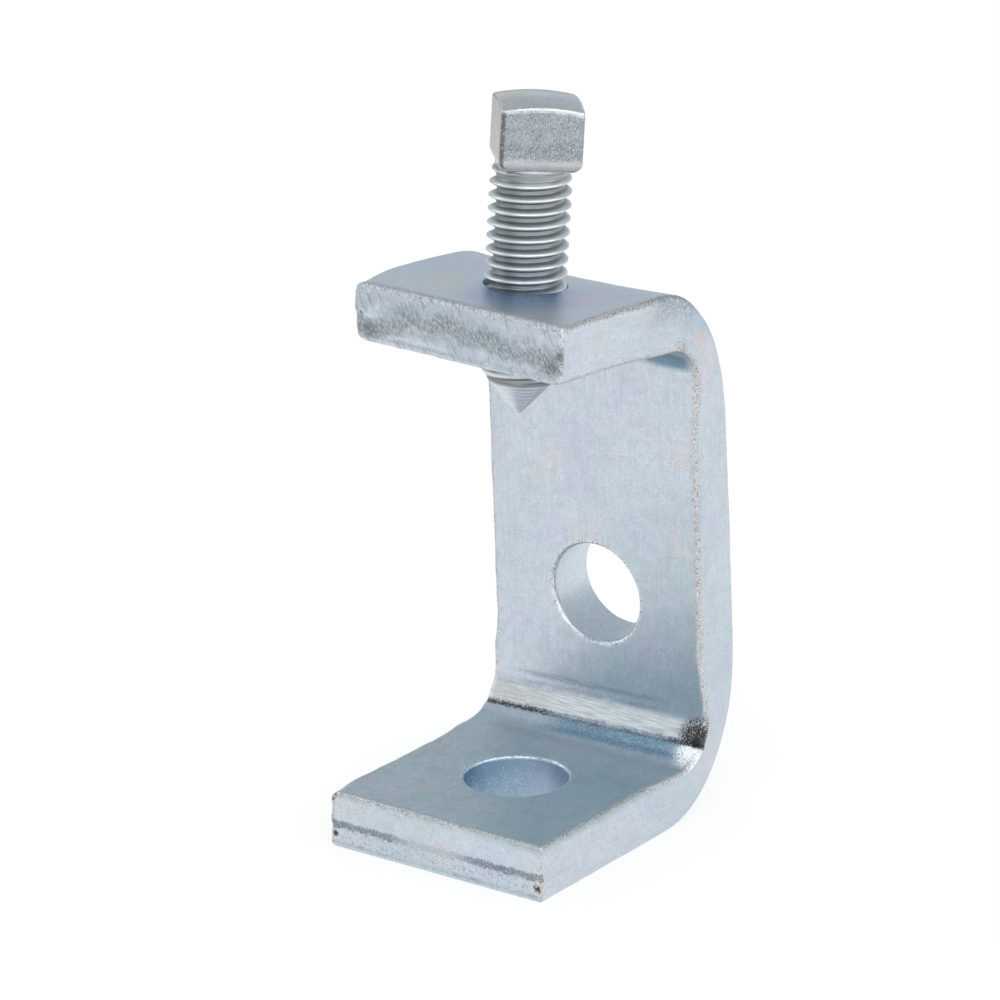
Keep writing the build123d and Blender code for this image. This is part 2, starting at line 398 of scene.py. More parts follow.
def bowed_faces(along, across, depth, side):
    """Depth with the faces bowed across the bends, and all of it a little uneven."""
    hollow = 1 - (across / (BAR_WIDTH / 2)) ** 2
    depth = depth - CROWN_DIP * hollow * bell(along, UPPER_BEND - 3, 9) * smooth(depth, 0, 6)
    flattened = 0.6 - 0.3 * hollow
    depth = depth - flattened * bell(along, LOWER_BEND - 1, 9) * smooth(depth, 2, 8)
    ripple = 0.09 * bumps(side, 11.0, 5.0) + 0.025 * bumps(side, 2.4, 6.0)
    mid_faces = smooth(np.minimum(along, BAR_LENGTH - along), 0.5, 3.0)
    depth = np.clip(depth + (ripple - 0.05 * np.sign(depth - 4.5)) * mid_faces, -1, BAR_THICKNESS)
    shoulder = 0.55 * bell(along, UPPER_BEND + 6, 4) * (1 - hollow)
    shoulder -= 0.3 * bell(along, UPPER_BEND - 7, 5)
    return depth + shoulder * smooth(depth, 3, 8)


def side_swell(clamp, along, across, depth):
    """How far the sides stand out: swollen inside the bends, pinched outside, uneven at the jaw."""
    swell = np.zeros(len(clamp))
    for centre, (pinched, amount) in zip(BEND_CENTRES, PINCHES):
        distance = np.linalg.norm(clamp[:, 1:] - centre, axis=1) - BEND_INNER_RADIUS
        swell += BEND_SWELL * smooth(distance, BEND_SWELL_REACH, -1.0)
        swell -= amount * smooth(distance, 4, 9) * bell(along, pinched, 8)
    left = 0.2 + BASE_FLARE * np.clip(1 - along / 30, 0, 1)
    left += JAW_BULGE * bell(along, BAR_LENGTH - 15, 9)
    left -= TIP_TAPER * smooth(along, BAR_LENGTH - TIP_TAPER_REACH, BAR_LENGTH)
    right = 0.45 * smooth(along, BAR_LENGTH - 12, BAR_LENGTH)
    swell += np.where(across < 0, left, right)
    swell += 0.05 * bumps(np.column_stack([along, depth, across * 0]), 6.0, 8.0)
    widest = bounds_at_load[1][0] / MM - BAR_WIDTH / 2 - BOX_MARGIN
    return np.minimum(swell, widest)


def shaped_bar():
    """The bar's mesh points in the clamp's frame in millimetres, its faces and its bar places."""
    points, quads = bar_grid()
    bar = points - [0, BAR_WIDTH / 2, 0]
    size = np.array([BAR_LENGTH, BAR_WIDTH, BAR_THICKNESS])
    along, across, depth = roll_edges(points, size, edge_radii(points, bar[:, 1])).T
    across = across - BAR_WIDTH / 2
    side = np.column_stack([across, depth, along])
    along = along + end_relief(bar, along, BASE_SCAR)
    along = along - end_relief(bar, BAR_LENGTH - along, JAW_SCAR)
    depth = bending_mark(along, across, depth, side)
    depth = bowed_faces(along, across, depth, side)
    clamp = bend_to_c(np.column_stack([along, across, depth]))
    swell = side_swell(clamp, along, across, depth)
    clamp[:, 0] = across * (1 + swell / (BAR_WIDTH / 2))
    return clamp, quads, bar


def turned(profile, segments):
    """Points and faces of a solid turned round z, from a profile that ends on the axis twice."""
    rings = profile[1:-1]
    angles = np.arange(segments) * 2 * math.pi / segments
    circle = np.column_stack([np.cos(angles), np.sin(angles)])
    points = [np.array([[0, 0, profile[0][1]], [0, 0, profile[-1][1]]])]
    for radius, height in rings:
        points.append(np.column_stack([circle * radius, np.full(segments, height)]))
    faces = []
    last = len(rings) - 1
    for k in range(segments):
        after = (k + 1) % segments
        faces.append([0, 2 + after, 2 + k])
        faces.append([1, 2 + last * segments + k, 2 + last * segments + after])
        for ring in range(last):
            low, high = 2 + ring * segments, 2 + (ring + 1) * segments
            faces.append([low + k, low + after, high + after, high + k])
    return np.concatenate(points), faces


def placed(points, origin, out):
    """Points whose +z runs along out in the side view, and whose +x stays +x."""
    x_axis = np.array([1.0, 0.0, 0.0])
    z_axis = np.array([0.0, out[0], out[1]])
    y_axis = np.cross(z_axis, x_axis)
    return points @ np.array([x_axis, y_axis, z_axis]) + [0, origin[0], origin[1]]


HOLES = (
    (LOWER_CORNER + BASE_HOLE_SETBACK * BASE_RUN, BASE_OUT, BASE_HOLE_RADIUS),
    (LOWER_CORNER + BACK_HOLE_HEIGHT * BACK_RUN, BACK_OUT, BACK_HOLE_RADIUS),
    (UPPER_CORNER + SCREW_SETBACK * JAW_RUN, JAW_OUT, SCREW_RADIUS + SCREW_CLEARANCE),
)


def hole_cutters():
    """The punched holes, with a rolled edge where the punch went in and a ragged wall."""
    beyond = 3.0
    punched = [(0.95, -0.33), (0.42, 0.02), (0.18, 0.16), (0.05, 0.38), (0.0, 0.7)]
    tapped = [(0.5, -0.35), (0.15, 0.05), (0.0, 0.3)]
    foot = [(0.0, BAR_THICKNESS - 0.25), (0.2, BAR_THICKNESS), (0.5, BAR_THICKNESS + 0.35)]
    all_points, all_faces = [], []
    count = 0
    for index, (origin, out, radius) in enumerate(HOLES):
        wall = [(0.0, height) for height in np.linspace(1.1, BAR_THICKNESS - 0.7, HOLE_RINGS)]
        rim = tapped if index == 2 else punched
        steps = rim + wall + foot
        profile = [(0, -beyond), (radius + rim[0][0], -beyond)]
        profile += [(radius + grow, height) for grow, height in steps]
        profile += [(radius + foot[-1][0], BAR_THICKNESS + beyond), (0, BAR_THICKNESS + beyond)]
        points, faces = turned(profile, HOLE_SEGMENTS)
        away = np.linalg.norm(points[:, :2], axis=1, keepdims=True)
        rough = (0.05 * bumps(points * [1, 1, 0.35], 0.8, 31.0 + index))[:, None]
        rough += (0.06 * bumps(points, 3.0, 41.0 + index))[:, None]
        points[:, :2] *= np.where(away > 1, (away + rough) / np.maximum(away, 1), 1)
        all_points.append(placed(points, origin, out))
        all_faces += [[corner + count for corner in face] for face in faces]
        count += len(points)
    return new_object("cutters", new_mesh("cutters", np.concatenate(all_points), all_faces))


def in_a_hole(places):
    """Which places lie on the wall of one of the holes."""
    found = np.zeros(len(places), bool)
    for origin, out, radius in HOLES:
        offset = places - [0, origin[0], origin[1]]
        depth = offset @ [0, out[0], out[1]]
        away = np.sqrt(np.maximum((offset**2).sum(1) - depth**2, 0))
        found |= (away < radius + 0.3) & (depth > 0.3) & (depth < BAR_THICKNESS - 0.1)
    return found


def finished(mesh, materials, sharp_angle):
    """Shade a mesh of millimetres smooth with sharp edges, and bring it to metres."""
    mesh.materials.clear()
    for material in materials:
        mesh.materials.append(material)
    mesh.transform(Matrix.Scale(MM, 4))
    mesh.shade_smooth()
    mesh.set_sharp_from_angle(angle=math.radians(sharp_angle))
    return mesh


def clamp_mesh():
    points, quads, bar = shaped_bar()
    solid = new_object("bar", new_mesh("bar", points, quads))
    mesh = combined(solid, hole_cutters(), "DIFFERENCE")
    tree = KDTree(len(points))
    for index, point in enumerate(points):
        tree.insert(point, index)
    tree.balance()
    places = vertex_places(mesh)
    nearest = [tree.find(place)[1] for place in places]
    place_vectors(mesh, "bar", bar[nearest])
    finished(mesh, [bar_zinc(), bore_zinc()], sharp_angle=38)
    centres = np.zeros(len(mesh.polygons) * 3)
    mesh.polygons.foreach_get("center", centres)
    bore = in_a_hole(centres.reshape(-1, 3) / MM)
    mesh.polygons.foreach_set("material_index", bore.astype(np.int32))
    return mesh


def thread_radius(height, phase):
    """The screw's radius at a height below the head, phase pitches on from a thread's root."""
    from_crest = np.abs(phase % 1 - 0.5) * 2
    flank = np.clip((FLANK_FOOT - from_crest) / (FLANK_FOOT - FLANK_TOP), 0, 1)
    crest_share = flank - 0.05 * np.sin(2 * math.pi * flank)
    thread = THREAD_ROOT_RADIUS + (SCREW_RADIUS - THREAD_ROOT_RADIUS) * crest_share
    full = smooth(height, THREAD_TOP, THREAD_TOP - RUN_OUT_LENGTH)
    thread = thread * full + (NECK_RADIUS + 0.4 * crest_share) * (1 - full)
    lead_in_slope = (SCREW_RADIUS - CONE_BASE_RADIUS) / LEAD_IN_LENGTH
    return np.minimum(thread, CONE_BASE_RADIUS + (height - CONE_TOP) * lead_in_slope)


def thread_surface():
    """Points and quads of the threaded shank, wound as one helix round z."""
    low, high = CONE_TOP, THREAD_TOP
    start = 0.5 - (THREAD_CREST - low) / THREAD_PITCH
    turns = math.ceil((high - low) / THREAD_PITCH) + 1
    rows = np.arange(-PITCH_STEPS, turns * PITCH_STEPS + 1)
    columns = np.arange(SCREW_SEGMENTS)
    row, column = (grid.ravel() for grid in np.meshgrid(rows, columns, indexing="ij"))
    turn = row / PITCH_STEPS + column / SCREW_SEGMENTS
    height = np.clip(low + THREAD_PITCH * turn, low, high)
    radius = thread_radius(height, row / PITCH_STEPS + start)
    radius = np.where(height >= high, NECK_RADIUS, radius)
    radius = np.where(height <= low, CONE_BASE_RADIUS, radius)
    angle = 2 * math.pi * column / SCREW_SEGMENTS
    points = np.column_stack([radius * np.cos(angle), radius * np.sin(angle), height])
    ids = np.arange(len(points)).reshape(len(rows), SCREW_SEGMENTS).tolist()
    faces = []
    for i in range(len(rows) - 1):
        lower, upper = list(ids[i]), list(ids[i + 1])
        # Each turn ends where the next one starts, a pitch higher.
        if i + 1 + PITCH_STEPS < len(rows):
            lower.append(ids[i + PITCH_STEPS][0])
            upper.append(ids[i + 1 + PITCH_STEPS][0])
        faces += [list(quad) for quad in zip(lower, lower[1:], upper[1:], upper)]
    return points, faces


def closed_end(profile, first):
    """Rings that end on the axis, as points numbered from first on, and their faces."""
    angles = 2 * math.pi * np.arange(SCREW_SEGMENTS) / SCREW_SEGMENTS
    circle = np.column_stack([np.cos(angles), np.sin(angles)])
    *rings, (_, tip) = profile
    points = [np.column_stack([circle * r, np.full(SCREW_SEGMENTS, z)]) for r, z in rings]
    points.append(np.array([[0, 0, tip]]))
    faces = []
    for ring in range(len(rings)):
        near = first + ring * SCREW_SEGMENTS
        far = near + SCREW_SEGMENTS
        for k in range(SCREW_SEGMENTS):
            after = (k + 1) % SCREW_SEGMENTS
            if ring + 1 < len(rings):
                faces.append([near + k, near + after, far + after, far + k])
            else:
                faces.append([near + k, near + after, far])
    return np.concatenate(points), faces


def cone_profile():
    """The cone point with the fine lines of its turning."""
    steps = np.linspace(0, 1, CONE_RINGS)
    count = np.arange(CONE_RINGS)
    lines = 0.02 * np.sin(count * 2.1) + 0.02 * np.sin(count * 0.8)
    lines[[0, -1]] = 0
    radii = CONE_BASE_RADIUS + (POINT_RADIUS - CONE_BASE_RADIUS) * steps + lines
    heights = CONE_TOP + steps * (-SCREW_LENGTH - CONE_TOP)
    return list(zip(radii, heights)) + [(0, -SCREW_LENGTH)]


def shank():
    """The threaded shank and its cone point, round z with the underside of the head at z = 0."""
    points, faces = thread_surface()
    neck = [(NECK_RADIUS, z) for z in (THREAD_TOP, THREAD_TOP / 2, NECK_RISE)] + [(0, NECK_RISE)]
    for profile in (neck, cone_profile()):
        end_points, end_faces = closed_end(profile, len(points))
        points = np.concatenate([points, end_points])
        faces += end_faces
    mesh = new_mesh("shank", points, faces)
    welded = bmesh.new()
    welded.from_mesh(mesh)
    bmesh.ops.remove_doubles(welded, verts=welded.verts, dist=0.002)
    bmesh.ops.dissolve_degenerate(welded, edges=welded.edges, dist=0.0005)
    bmesh.ops.recalc_face_normals(welded, faces=welded.faces)
    welded.to_mesh(mesh)
    welded.free()
    return mesh


def head():
    """The forged square head with its crowned top and tapered foot, standing on z = 0."""
    half = HEAD_ACROSS_FLATS / 2
    size = np.array([HEAD_ACROSS_FLATS, HEAD_ACROSS_FLATS, HEAD_HEIGHT])
    across = graded(HEAD_ACROSS_FLATS, HEAD_ROLL, HEAD_STEP)
    points, quads = box_shell(across, across, graded(HEAD_HEIGHT, HEAD_ROLL, HEAD_STEP))
    foot = smooth(points[:, 2], HEAD_FOOT_HEIGHT * 1.3, 0)
    corner = (0.55 + 0.9 * foot) * (1 + 0.2 * bumps(points, 2.0, 51.0))
    top = 0.5 * (1 + 0.4 * bumps(points, 1.7, 52.0))
    x, y, z = roll_edges(points, size, np.column_stack([corner, corner, top])).T
    x, y = x - half, y - half
    taper = 1 - foot * (1 - HEAD_FOOT_ACROSS_FLATS / HEAD_ACROSS_FLATS)
    crown = HEAD_CROWN_RADIUS - np.sqrt(HEAD_CROWN_RADIUS**2 - x**2 - y**2)
    dents = 0.05 * bumps(points, 2.6, 53.0) + 0.03 * bumps(points, 0.9, 54.0)
    taper = taper * (1 + (np.minimum(dents, 0) - 0.02) / half)
    z = z * (1 - crown / HEAD_HEIGHT)
    return new_mesh("head", np.column_stack([x * taper, y * taper, z]), quads)


def screw_mesh():
    block = new_object("head", head())
    block.data.transform(Matrix.Rotation(HEAD_TURN, 4, "Z"))
    block.data.transform(Matrix.Translation((*HEAD_OFFSET, 0)))
    mesh = combined(block, new_object("shank", shank()), "UNION")
    places = vertex_places(mesh)
    place_vectors(mesh, "turned", places)
    seat = UPPER_CORNER + SCREW_SETBACK * JAW_RUN + (BAR_THICKNESS + SCREW_STAND_OUT) * JAW_OUT
    mesh.vertices.foreach_set("co", placed(places, seat, JAW_OUT).ravel())
    return finished(mesh, [screw_zinc()], sharp_angle=40)


class Nodes:
    """A short way to add shader nodes and links to one node tree."""

    def __init__(self, tree):
        self.tree = tree
        self.colour = None
        tree.nodes.clear()

    def add(self, kind, inputs=(), **settings):
        node = self.tree.nodes.new(kind)
        for name, value in settings.items():
            setattr(node, name, value)
        for key, value in dict(inputs).items():
            if isinstance(value, bpy.types.NodeSocket):
                self.tree.links.new(value, node.inputs[key])
            else:
                node.inputs[key].default_value = value
        return node

    def math(self, operation, *values):
        return self.add("ShaderNodeMath", enumerate(values), operation=operation).outputs[0]

    def chain(self, operation, values):
        return reduce(lambda first, second: self.math(operation, first, second), values)

    def times(self, *values):
        return self.chain("MULTIPLY", values)

    def most(self, *values):
        return self.chain("MAXIMUM", values)

    def sum(self, *values):
        return self.chain("ADD", values)

    def less(self, first, second):
        return self.math("SUBTRACT", first, second)

    def size(self, value):
        return self.math("ABSOLUTE", value)

    def ramp(self, value, low, high, start=0.0, end=1.0):
        """From start at low to end at high, smooth between, and high may be the lower number."""
        inputs = {"Value": value, "From Min": low, "From Max": high, "To Min": start, "To Max": end}
        node = self.add("ShaderNodeMapRange", inputs, interpolation_type="SMOOTHSTEP")
        return node.outputs["Result"]

    def band(self, value, centre, reach, soft):
        """1 within reach of centre, and 0 beyond that by soft."""
        return self.ramp(self.size(self.less(value, centre)), reach + soft, reach)

    def noise(self, place, scale, detail=3.0, roughness=0.55):
        inputs = {"Vector": place, "Scale": scale, "Detail": detail, "Roughness": roughness}
        return self.add("ShaderNodeTexNoise", inputs).outputs["Fac"]

    def mix(self, share, first, second):
        node = self.add("ShaderNodeMix", {0: share}, data_type="RGBA")
        for index, colour in ((6, first), (7, second)):
            if isinstance(colour, bpy.types.NodeSocket):
                self.tree.links.new(colour, node.inputs[index])
            else:
                node.inputs[index].default_value = (*colour, 1)
        return node.outputs[2]

    def lay(self, colour, *shares):
        """Lay a colour over the material's colour so far, by the product of the shares."""
        self.colour = self.mix(self.times(*shares), self.colour, colour)

    def scaled(self, vector, scale):
        inputs = {0: vector, 1: scale}
        return self.add("ShaderNodeVectorMath", inputs, operation="MULTIPLY").outputs[0]

    def split(self, vector):
        return self.add("ShaderNodeSeparateXYZ", {0: vector}).outputs[:]

    def combine(self, x, y, z=0.0):
        return self.add("ShaderNodeCombineXYZ", enumerate((x, y, z))).outputs[0]

    def near(self, vector, centre, reach, soft):
        """1 within reach of a place, and 0 beyond that by soft."""
        inputs = {0: vector, 1: (*centre, 0)}
        away = self.add("ShaderNodeVectorMath", inputs, operation="DISTANCE").outputs["Value"]
        return self.ramp(away, reach + soft, reach)

    def attribute(self, name):
        return self.add("ShaderNodeAttribute", attribute_name=name).outputs["Vector"]

    def place(self):
        """The place on the piece in millimetres."""
        return self.scaled(self.add("ShaderNodeTexCoord").outputs["Object"], (1000, 1000, 1000))


def new_material(name, kind=Nodes):
    material = bpy.data.materials.new(name)
    material.use_nodes = True
    return material, kind(material.node_tree)


WHITE = (1.0, 1.0, 1.0)

# Colours of the plating: its two main tints for each piece, and what drifts and grain add.
BAR_TINTS = ((0.60, 0.69, 0.75), (0.66, 0.72, 0.80))
BORE_TINTS = ((0.5, 0.6, 0.7), (0.55, 0.63, 0.74))
SCREW_TINTS = ((0.74, 0.73, 0.72), (0.78, 0.75, 0.74))
WARM = (0.74, 0.68, 0.70)
VIOLET = (0.62, 0.62, 0.78)
DULL = (0.40, 0.47, 0.51)
DARK_GRAIN = (0.30, 0.36, 0.40)
PALE_GRAIN = (0.88, 0.90, 0.93)

# Stains on the upper bend's side: place as (along, depth), colour and share.
BEND_STAINS = (
    ((115.5, 7.4), (0.46, 0.64, 0.80), 0.6),
    ((113.8, 4.6), (0.72, 0.60, 0.54), 0.5),
    ((110.0, 6.2), (0.74, 0.62, 0.72), 0.5),
)

# How high the shaders' fine relief stands, in metres.
RELIEF = 0.00004


def plated(n, place, tints):
    """Zinc plate on rolled steel: slow drifts of tint, mottling and fine grain, and its height."""
    mirrored = n.scaled(place, (-1, 1, -1))
    n.colour = n.mix(n.ramp(n.noise(place, 0.07, 2), 0.35, 0.65), *tints)
    n.lay(WARM, n.ramp(n.noise(place, 0.16, 2), 0.52, 0.70), 0.5)
    n.lay(VIOLET, n.ramp(n.noise(mirrored, 0.12, 2), 0.52, 0.70), 0.5)
    mottle = n.noise(place, 0.9, 4, 0.65)
    patches = n.noise(mirrored, 0.45, 3, 0.6)
    grain = n.noise(place, 5.5, 3, 0.7)
    dull = n.most(n.ramp(mottle, 0.42, 0.66), n.ramp(patches, 0.48, 0.62, 0, 0.8))
    n.lay(DULL, dull, 0.28)
    n.lay(DARK_GRAIN, n.ramp(grain, 0.46, 0.66), 0.42)
    n.lay(PALE_GRAIN, n.ramp(grain, 0.42, 0.32), 0.35)
    height = n.sum(n.times(mottle, 0.7), n.times(grain, 0.5))
    return height, grain


def surface(n, roughness, height, metallic=1.0):
    bump = n.add("ShaderNodeBump", {"Height": height, "Strength": 1.0, "Distance": RELIEF})
    inputs = {
        "Base Color": n.colour,
        "Metallic": metallic,
        "Roughness": roughness,
        "Normal": bump.outputs["Normal"],
    }
    shader = n.add("ShaderNodeBsdfPrincipled", inputs)
    n.add("ShaderNodeOutputMaterial", {"Surface": shader.outputs["BSDF"]})


class BarNodes(Nodes):
    """Nodes that know the bar's own places, the gaps to its faces, and the noises of its marks."""

    def __init__(self, tree):
        super().__init__(tree)
        self.bar = self.attribute("bar")
        self.along, self.across, self.depth = self.split(self.bar)
        place = self.place()
        self.fine = self.noise(place, 3.2, 3, 0.7)
        self.coarse = self.less(self.noise(place, 1.1, 3, 0.7), 0.5)
        self.slow = self.less(self.noise(place, 0.3, 2), 0.5)
        self.side_gap = self.less(BAR_WIDTH / 2, self.size(self.across))
        self.outer_gap = self.less(BAR_THICKNESS, self.depth)
        self.jaw_gap = self.less(BAR_LENGTH, self.along)
        self.inside = self.ramp(self.depth, 1.6, 0.8)
        self.side_face = self.ramp(self.side_gap, 0.9, 0.3)
        self.height, self.grain = plated(self, place, BAR_TINTS)


def lay_tints(n):
    """Drawn streaks, painted shade on the base's top towards the back and right, a bluer jaw top.
    """
    streaks = n.noise(n.scaled(n.bar, (0.05, 1.1, 1.1)), 2.2, 3)
    n.lay((0.45, 0.53, 0.57), n.ramp(streaks, 0.45, 0.7), 0.32)
    # Painted shade: the base's top darkened towards the back and right.
    base_top = n.times(n.inside, n.ramp(n.along, 36, 26))
    shade_to_back = n.ramp(n.sum(n.across, n.times(n.along, 0.6)), -8, 22)
    n.lay((0.33, 0.48, 0.51), base_top, shade_to_back, 0.45)
    smudges = n.ramp(n.noise(n.bar, 0.35, 4, 0.7), 0.50, 0.62)
    n.lay((0.28, 0.38, 0.42), base_top, smudges, 0.2)
    jaw_top = n.times(n.ramp(n.depth, 7.4, 8.2), n.ramp(n.along, 118, 126))
    n.lay((0.72, 0.77, 0.86), jaw_top, 0.5)
    top_place = n.combine(n.across, n.along)
    mottled = n.ramp(n.sum(n.fine, n.coarse), 0.36, 0.62, 0.45, 0.95)
    n.lay((0.28, 0.40, 0.68), jaw_top, n.near(top_place, (4, BAR_LENGTH - 12), 3, 9), mottled)
    n.lay((0.70, 0.62, 0.76), jaw_top, n.near(top_place, (12, BAR_LENGTH - 17), 1, 5), 0.6)
    n.lay((0.72, 0.70, 0.60), jaw_top, n.near(top_place, (-9, BAR_LENGTH - 10), 1, 6), 0.4)


def lay_worn_edges(n):
    """Edges worn warm, with dark pits and painted glints. Returns where they and the pits are."""
    ragged = n.times(n.coarse, 2.4)

    def worn(first, second, reach, second_reach=None):
        """1 near the edge where two faces meet, given how far a place is from each."""
        gaps = ((first, reach), (second, second_reach or reach))
        return n.times(*[n.ramp(n.sum(gap, ragged), far, far * 0.4) for gap, far in gaps])

    on_jaw = n.ramp(n.along, MID_BREAKS[3] + 4, MID_BREAKS[3] + 14)
    edge = n.most(
        n.times(worn(n.side_gap, n.depth, 1.0), 0.85),
        n.times(worn(n.side_gap, n.outer_gap, 1.1), on_jaw),
        n.times(worn(n.along, n.depth, 0.7), 0.9),
        n.times(worn(n.along, n.side_gap, 0.6), 0.8),
        worn(n.jaw_gap, n.outer_gap, 2.4, 1.5),
        worn(n.jaw_gap, n.side_gap, 0.8, 1.0),
        n.times(worn(n.jaw_gap, n.depth, 0.5), 0.6),
    )
    n.lay((0.50, 0.45, 0.42), edge, n.ramp(n.fine, 0.34, 0.56), 0.75)
    pits = n.times(edge, n.ramp(n.fine, 0.57, 0.64))
    n.lay((0.11, 0.09, 0.08), pits, 0.85)
    # Painted glints: near-white grains along the worn edges.
    n.lay((0.95, 0.93, 0.92), edge, n.ramp(n.grain, 0.46, 0.38))
    return edge, pits


def lay_bend_side(n):
    """The side of the upper bend: grey bruises along its outer edge, and three faint stains."""
    bruised = n.times(n.band(n.along, 120, 4, 6), n.ramp(n.outer_gap, 6.5, 0.8))
    mottled = n.ramp(n.sum(n.fine, n.times(n.coarse, 0.6)), 0.36, 0.56)
    n.lay((0.30, 0.34, 0.39), bruised, mottled, n.side_face, 0.85)
    side_place = n.combine(n.along, n.depth)
    for stain_place, tint, share in BEND_STAINS:
        n.lay(tint, n.side_face, n.near(side_place, stain_place, 0.6, 2.4), share)


def lay_base_end(n):
    """The base's end: a torn line, dark also as painted shade, specks below it, corner spots.
    Returns line and spots.
    """
    half = BAR_WIDTH / 2
    base_end = n.ramp(n.along, 0.9, 0.3)
    # The dark line is torn metal and painted shade of the step that faces down at the break.
    line = n.band(n.sum(n.depth, n.times(n.coarse, 1.4)), BASE_BREAK - 0.1, 0.42, 0.45)
    off_middle = n.ramp(n.size(n.sum(n.across, 1)), 3, 9, 0.3)
    torn = n.times(base_end, line, off_middle, n.ramp(n.fine, 0.38, 0.56, 0.4))
    n.lay((0.20, 0.25, 0.29), torn, 0.9)
    specks = n.times(n.band(n.depth, 7.0, 0.9, 0.8), n.ramp(n.fine, 0.56, 0.62))
    n.lay((0.20, 0.20, 0.20), base_end, specks, 0.6)
    warped = n.sum(n.size(n.across), n.times(n.less(n.fine, 0.5), 3.0))
    end_place = n.combine(warped, n.sum(n.depth, n.times(n.coarse, 3.5)))
    corner = (half - 0.8, 6.9)
    n.lay((0.80, 0.76, 0.72), base_end, n.near(end_place, corner, 0.9, 0.4), 0.5)
    nick = n.near(n.combine(n.across, n.depth), (-half, 0.4), 0.7, 0.5)
    nick = n.times(n.ramp(n.along, 1.6, 0.9), nick, n.ramp(n.fine, 0.40, 0.52))
    spots = n.most(n.times(base_end, n.near(end_place, corner, 0.35, 0.5)), nick)
    n.lay((0.07, 0.05, 0.04), spots, 0.95)
    return torn, spots


def lay_jaw_end(n):
    """The jaw's end: a torn wandering band, slanted scratches and dark marks. Returns all."""
    across, depth = n.across, n.depth
    jaw_end = n.ramp(n.jaw_gap, 0.9, 0.3)
    curve = n.less(n.ramp(across, -16, -8, 1.7, 5.0), n.ramp(across, -4, 17, 0, 1.7))
    centre = n.sum(curve, n.times(n.slow, 4.0), n.times(n.coarse, 3.0))
    torn = n.ramp(n.size(n.less(depth, centre)), 2.8, 0.6)
    torn = n.times(jaw_end, torn, n.sum(0.9, n.times(n.slow, 0.6)))
    cross = n.sum(n.times(across, 0.87), n.times(depth, 0.5))
    down = n.less(n.times(across, 0.5), n.times(depth, 0.87))
    teeth = n.noise(n.combine(n.times(cross, 1.5), n.times(down, 0.55)), 2.2, 4, 0.75)
    n.lay((0.70, 0.76, 0.88), jaw_end, 0.25)
    n.lay((0.23, 0.26, 0.25), torn, n.ramp(teeth, 0.42, 0.57, 0.2, 0.9))
    scratches = n.noise(n.combine(cross, n.times(down, 0.1)), 2.6, 3)
    scratches = n.times(jaw_end, n.ramp(scratches, 0.53, 0.60))
    n.lay((0.32, 0.35, 0.37), scratches, 0.45)
    jaw_face = n.combine(across, depth)
    marks = n.most(
        n.times(n.near(jaw_face, (-16.0, 2.2), 0.7, 1.3), 0.55),
        n.near(jaw_face, (-17.6, 4.3), 0.2, 0.5),
        n.times(n.near(jaw_face, (17.3, 2.2), 0.5, 1.4), 0.7),
        n.near(jaw_face, (18.7, 4.4), 0.2, 0.7),
    )
    marks = n.times(jaw_end, marks, n.ramp(n.fine, 0.36, 0.52))
    n.lay((0.12, 0.12, 0.12), marks, 0.9)
    return torn, teeth, scratches, marks


def above_crease(n):
    """How far a place on the inner face lies above the lower bend's crease, a little ragged."""
    from_crease = n.times(n.less(n.along, CREASE), 1 / BEND_STRETCH)
    return n.sum(n.less(from_crease, n.times(n.across, CREASE_SLOPE)), n.times(n.coarse, 1.2))


def lay_lower_bend(n, up):
    """The lower bend: scuffed above its crease, blued below it. Returns the scuff and crease."""
    across, fine, inside = n.across, n.fine, n.inside
    drag = n.noise(n.scaled(n.bar, (1.6, 0.12, 1.0)), 2.0, 3)
    scuff = n.times(inside, n.band(up, 1.75, 1.1, 0.7))
    n.lay(n.mix(n.ramp(drag, 0.38, 0.62), (0.86, 0.88, 0.87), (0.55, 0.59, 0.60)), scuff, 0.8)
    n.lay((0.60, 0.52, 0.46), scuff, n.band(across, -14, 4, 4), n.ramp(fine, 0.35, 0.6), 0.6)
    # Painted shadow lines: two faint dark streaks above the scuff.
    lines = n.most(n.band(up, 4.1, 0.12, 0.5), n.band(up, 5.6, 0.1, 0.6))
    lines = n.times(lines, inside, n.band(across, -2, 10, 6), n.ramp(drag, 0.35, 0.5))
    n.lay((0.26, 0.35, 0.40), lines, 0.5)
    below = n.times(inside, n.band(up, -1.6, 0.9, 1.3), n.band(across, 5, 8, 7))
    n.lay((0.12, 0.28, 0.42), below, n.ramp(fine, 0.42, 0.58, 0.5), 0.85)
    to_sides = n.most(n.ramp(across, -2, -10), n.ramp(across, 10, 16), 0.45)
    crease = n.times(inside, n.band(up, -0.05, 0.16, 0.5), to_sides)
    n.lay((0.05, 0.05, 0.05), crease, n.ramp(fine, 0.34, 0.52), 0.95)
    return scuff, crease


